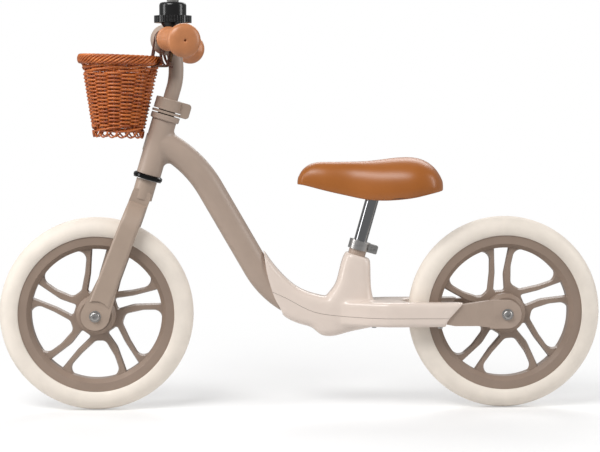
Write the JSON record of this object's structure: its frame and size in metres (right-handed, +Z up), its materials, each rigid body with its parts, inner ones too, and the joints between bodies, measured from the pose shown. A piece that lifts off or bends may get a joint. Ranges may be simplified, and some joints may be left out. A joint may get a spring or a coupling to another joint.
{
  "type": "balance bike",
  "caption": "Child's pedal-less balance bike: cast S-curve frame with plastic covers, foam-tyred spoked wheels, padded height-adjustable saddle, bell and wicker basket.",
  "frame": {"origin": "on the floor, midway between the two axles, in the plane of symmetry of the frame", "axes": "+X to the rear of the bike, +Y to the rider's right, +Z up"},
  "size_m": [0.904, 0.4194, 0.617],
  "materials": {
    "frame_paint": "matte paint",
    "fork_paint": "matte paint",
    "cover_plastic": "satin",
    "steel": "brushed",
    "black_steel": "satin black",
    "tyre": "matte foam",
    "rim_plastic": "satin",
    "chrome": "polished",
    "bar_paint": "matte paint",
    "grip": "soft matte",
    "bell_plastic": "satin",
    "bell_knob": "satin grey",
    "wicker": "woven natural willow",
    "strap_leather": "waxed",
    "buckle_metal": "antique",
    "saddle_cover": "soft sheen",
    "saddle_pan": "matte",
    "badge": "blank satin"
  },
  "bodies": {
    "frame": {"frame": "frame_paint", "upper_cover": "cover_plastic", "lower_cover": "cover_plastic", "cover_screws": "steel", "seat_clamp": "steel", "seat_clamp_bolt": "steel", "seat_clamp_nut": "steel", "lower_headset_cup": "black_steel", "upper_headset_cup": "frame_paint", "headset_bearings": "steel", "head_badge": "badge", "rear_axle_bolt": "steel", "rear_axle_nut": "steel", "rear_axle_washers": "steel", "rear_axle_spacers": "steel"},
    "fork": {"fork": "fork_paint", "crown_race": "steel", "top_cap": "fork_paint", "stem_clamp": "fork_paint", "stem_clamp_bolt": "black_steel", "front_axle_bolt": "steel", "front_axle_nut": "steel", "front_axle_washers": "steel", "front_axle_spacers": "steel"},
    "handlebar": {"handlebar": "bar_paint", "grip_left": "grip", "grip_right": "grip", "bell_base": "bell_plastic", "bell_dome": "bell_plastic", "bell_knob": "bell_knob", "basket": "wicker", "basket_strap_left": "strap_leather", "basket_strap_right": "strap_leather", "strap_buckle_left": "buckle_metal", "strap_buckle_right": "buckle_metal"},
    "bell_ring": {"bell_ring": "bell_plastic"},
    "saddle": {"saddle_cover": "saddle_cover", "saddle_pan": "saddle_pan", "saddle_bolt": "steel", "seat_post": "chrome", "seat_post_plug": "saddle_pan"},
    "front_wheel": {"front_tyre": "tyre", "front_rim": "rim_plastic", "front_spokes": "rim_plastic", "front_hub": "rim_plastic", "front_wheel_bearings": "steel", "front_bearing_sleeve": "steel"},
    "rear_wheel": {"rear_tyre": "tyre", "rear_rim": "rim_plastic", "rear_spokes": "rim_plastic", "rear_hub": "rim_plastic", "rear_wheel_bearings": "steel", "rear_bearing_sleeve": "steel"}
  },
  "joints": [
    {"name": "steering", "type": "hinge", "parent": "frame", "child": "fork", "pos_m": [-0.2295, 0, 0.35], "axis": [0.284, 0, 0.9588], "range_deg": [-40, 40]},
    {"name": "front_wheel_spin", "type": "hinge", "parent": "fork", "child": "front_wheel", "pos_m": [-0.307, 0, 0.145], "axis": [0, 1, 0], "continuous": true},
    {"name": "rear_wheel_spin", "type": "hinge", "parent": "frame", "child": "rear_wheel", "pos_m": [0.307, 0, 0.145], "axis": [0, 1, 0], "continuous": true},
    {"name": "seat_post_slide", "type": "slide", "parent": "frame", "child": "saddle", "axis": [0.2706, 0, 0.9627], "range_m": [-0.04, 0.02]},
    {"name": "handlebar_height", "type": "slide", "parent": "fork", "child": "handlebar", "axis": [0.284, 0, 0.9588], "range_m": [-0.012, 0.04]},
    {"name": "bell_ring_twist", "type": "hinge", "parent": "handlebar", "child": "bell_ring", "pos_m": [-0.1885, -0.08, 0.58], "axis": [0, 0, 1], "range_deg": [0, 35], "stiffness_Nm_per_rad": 0.05}
  ]
}
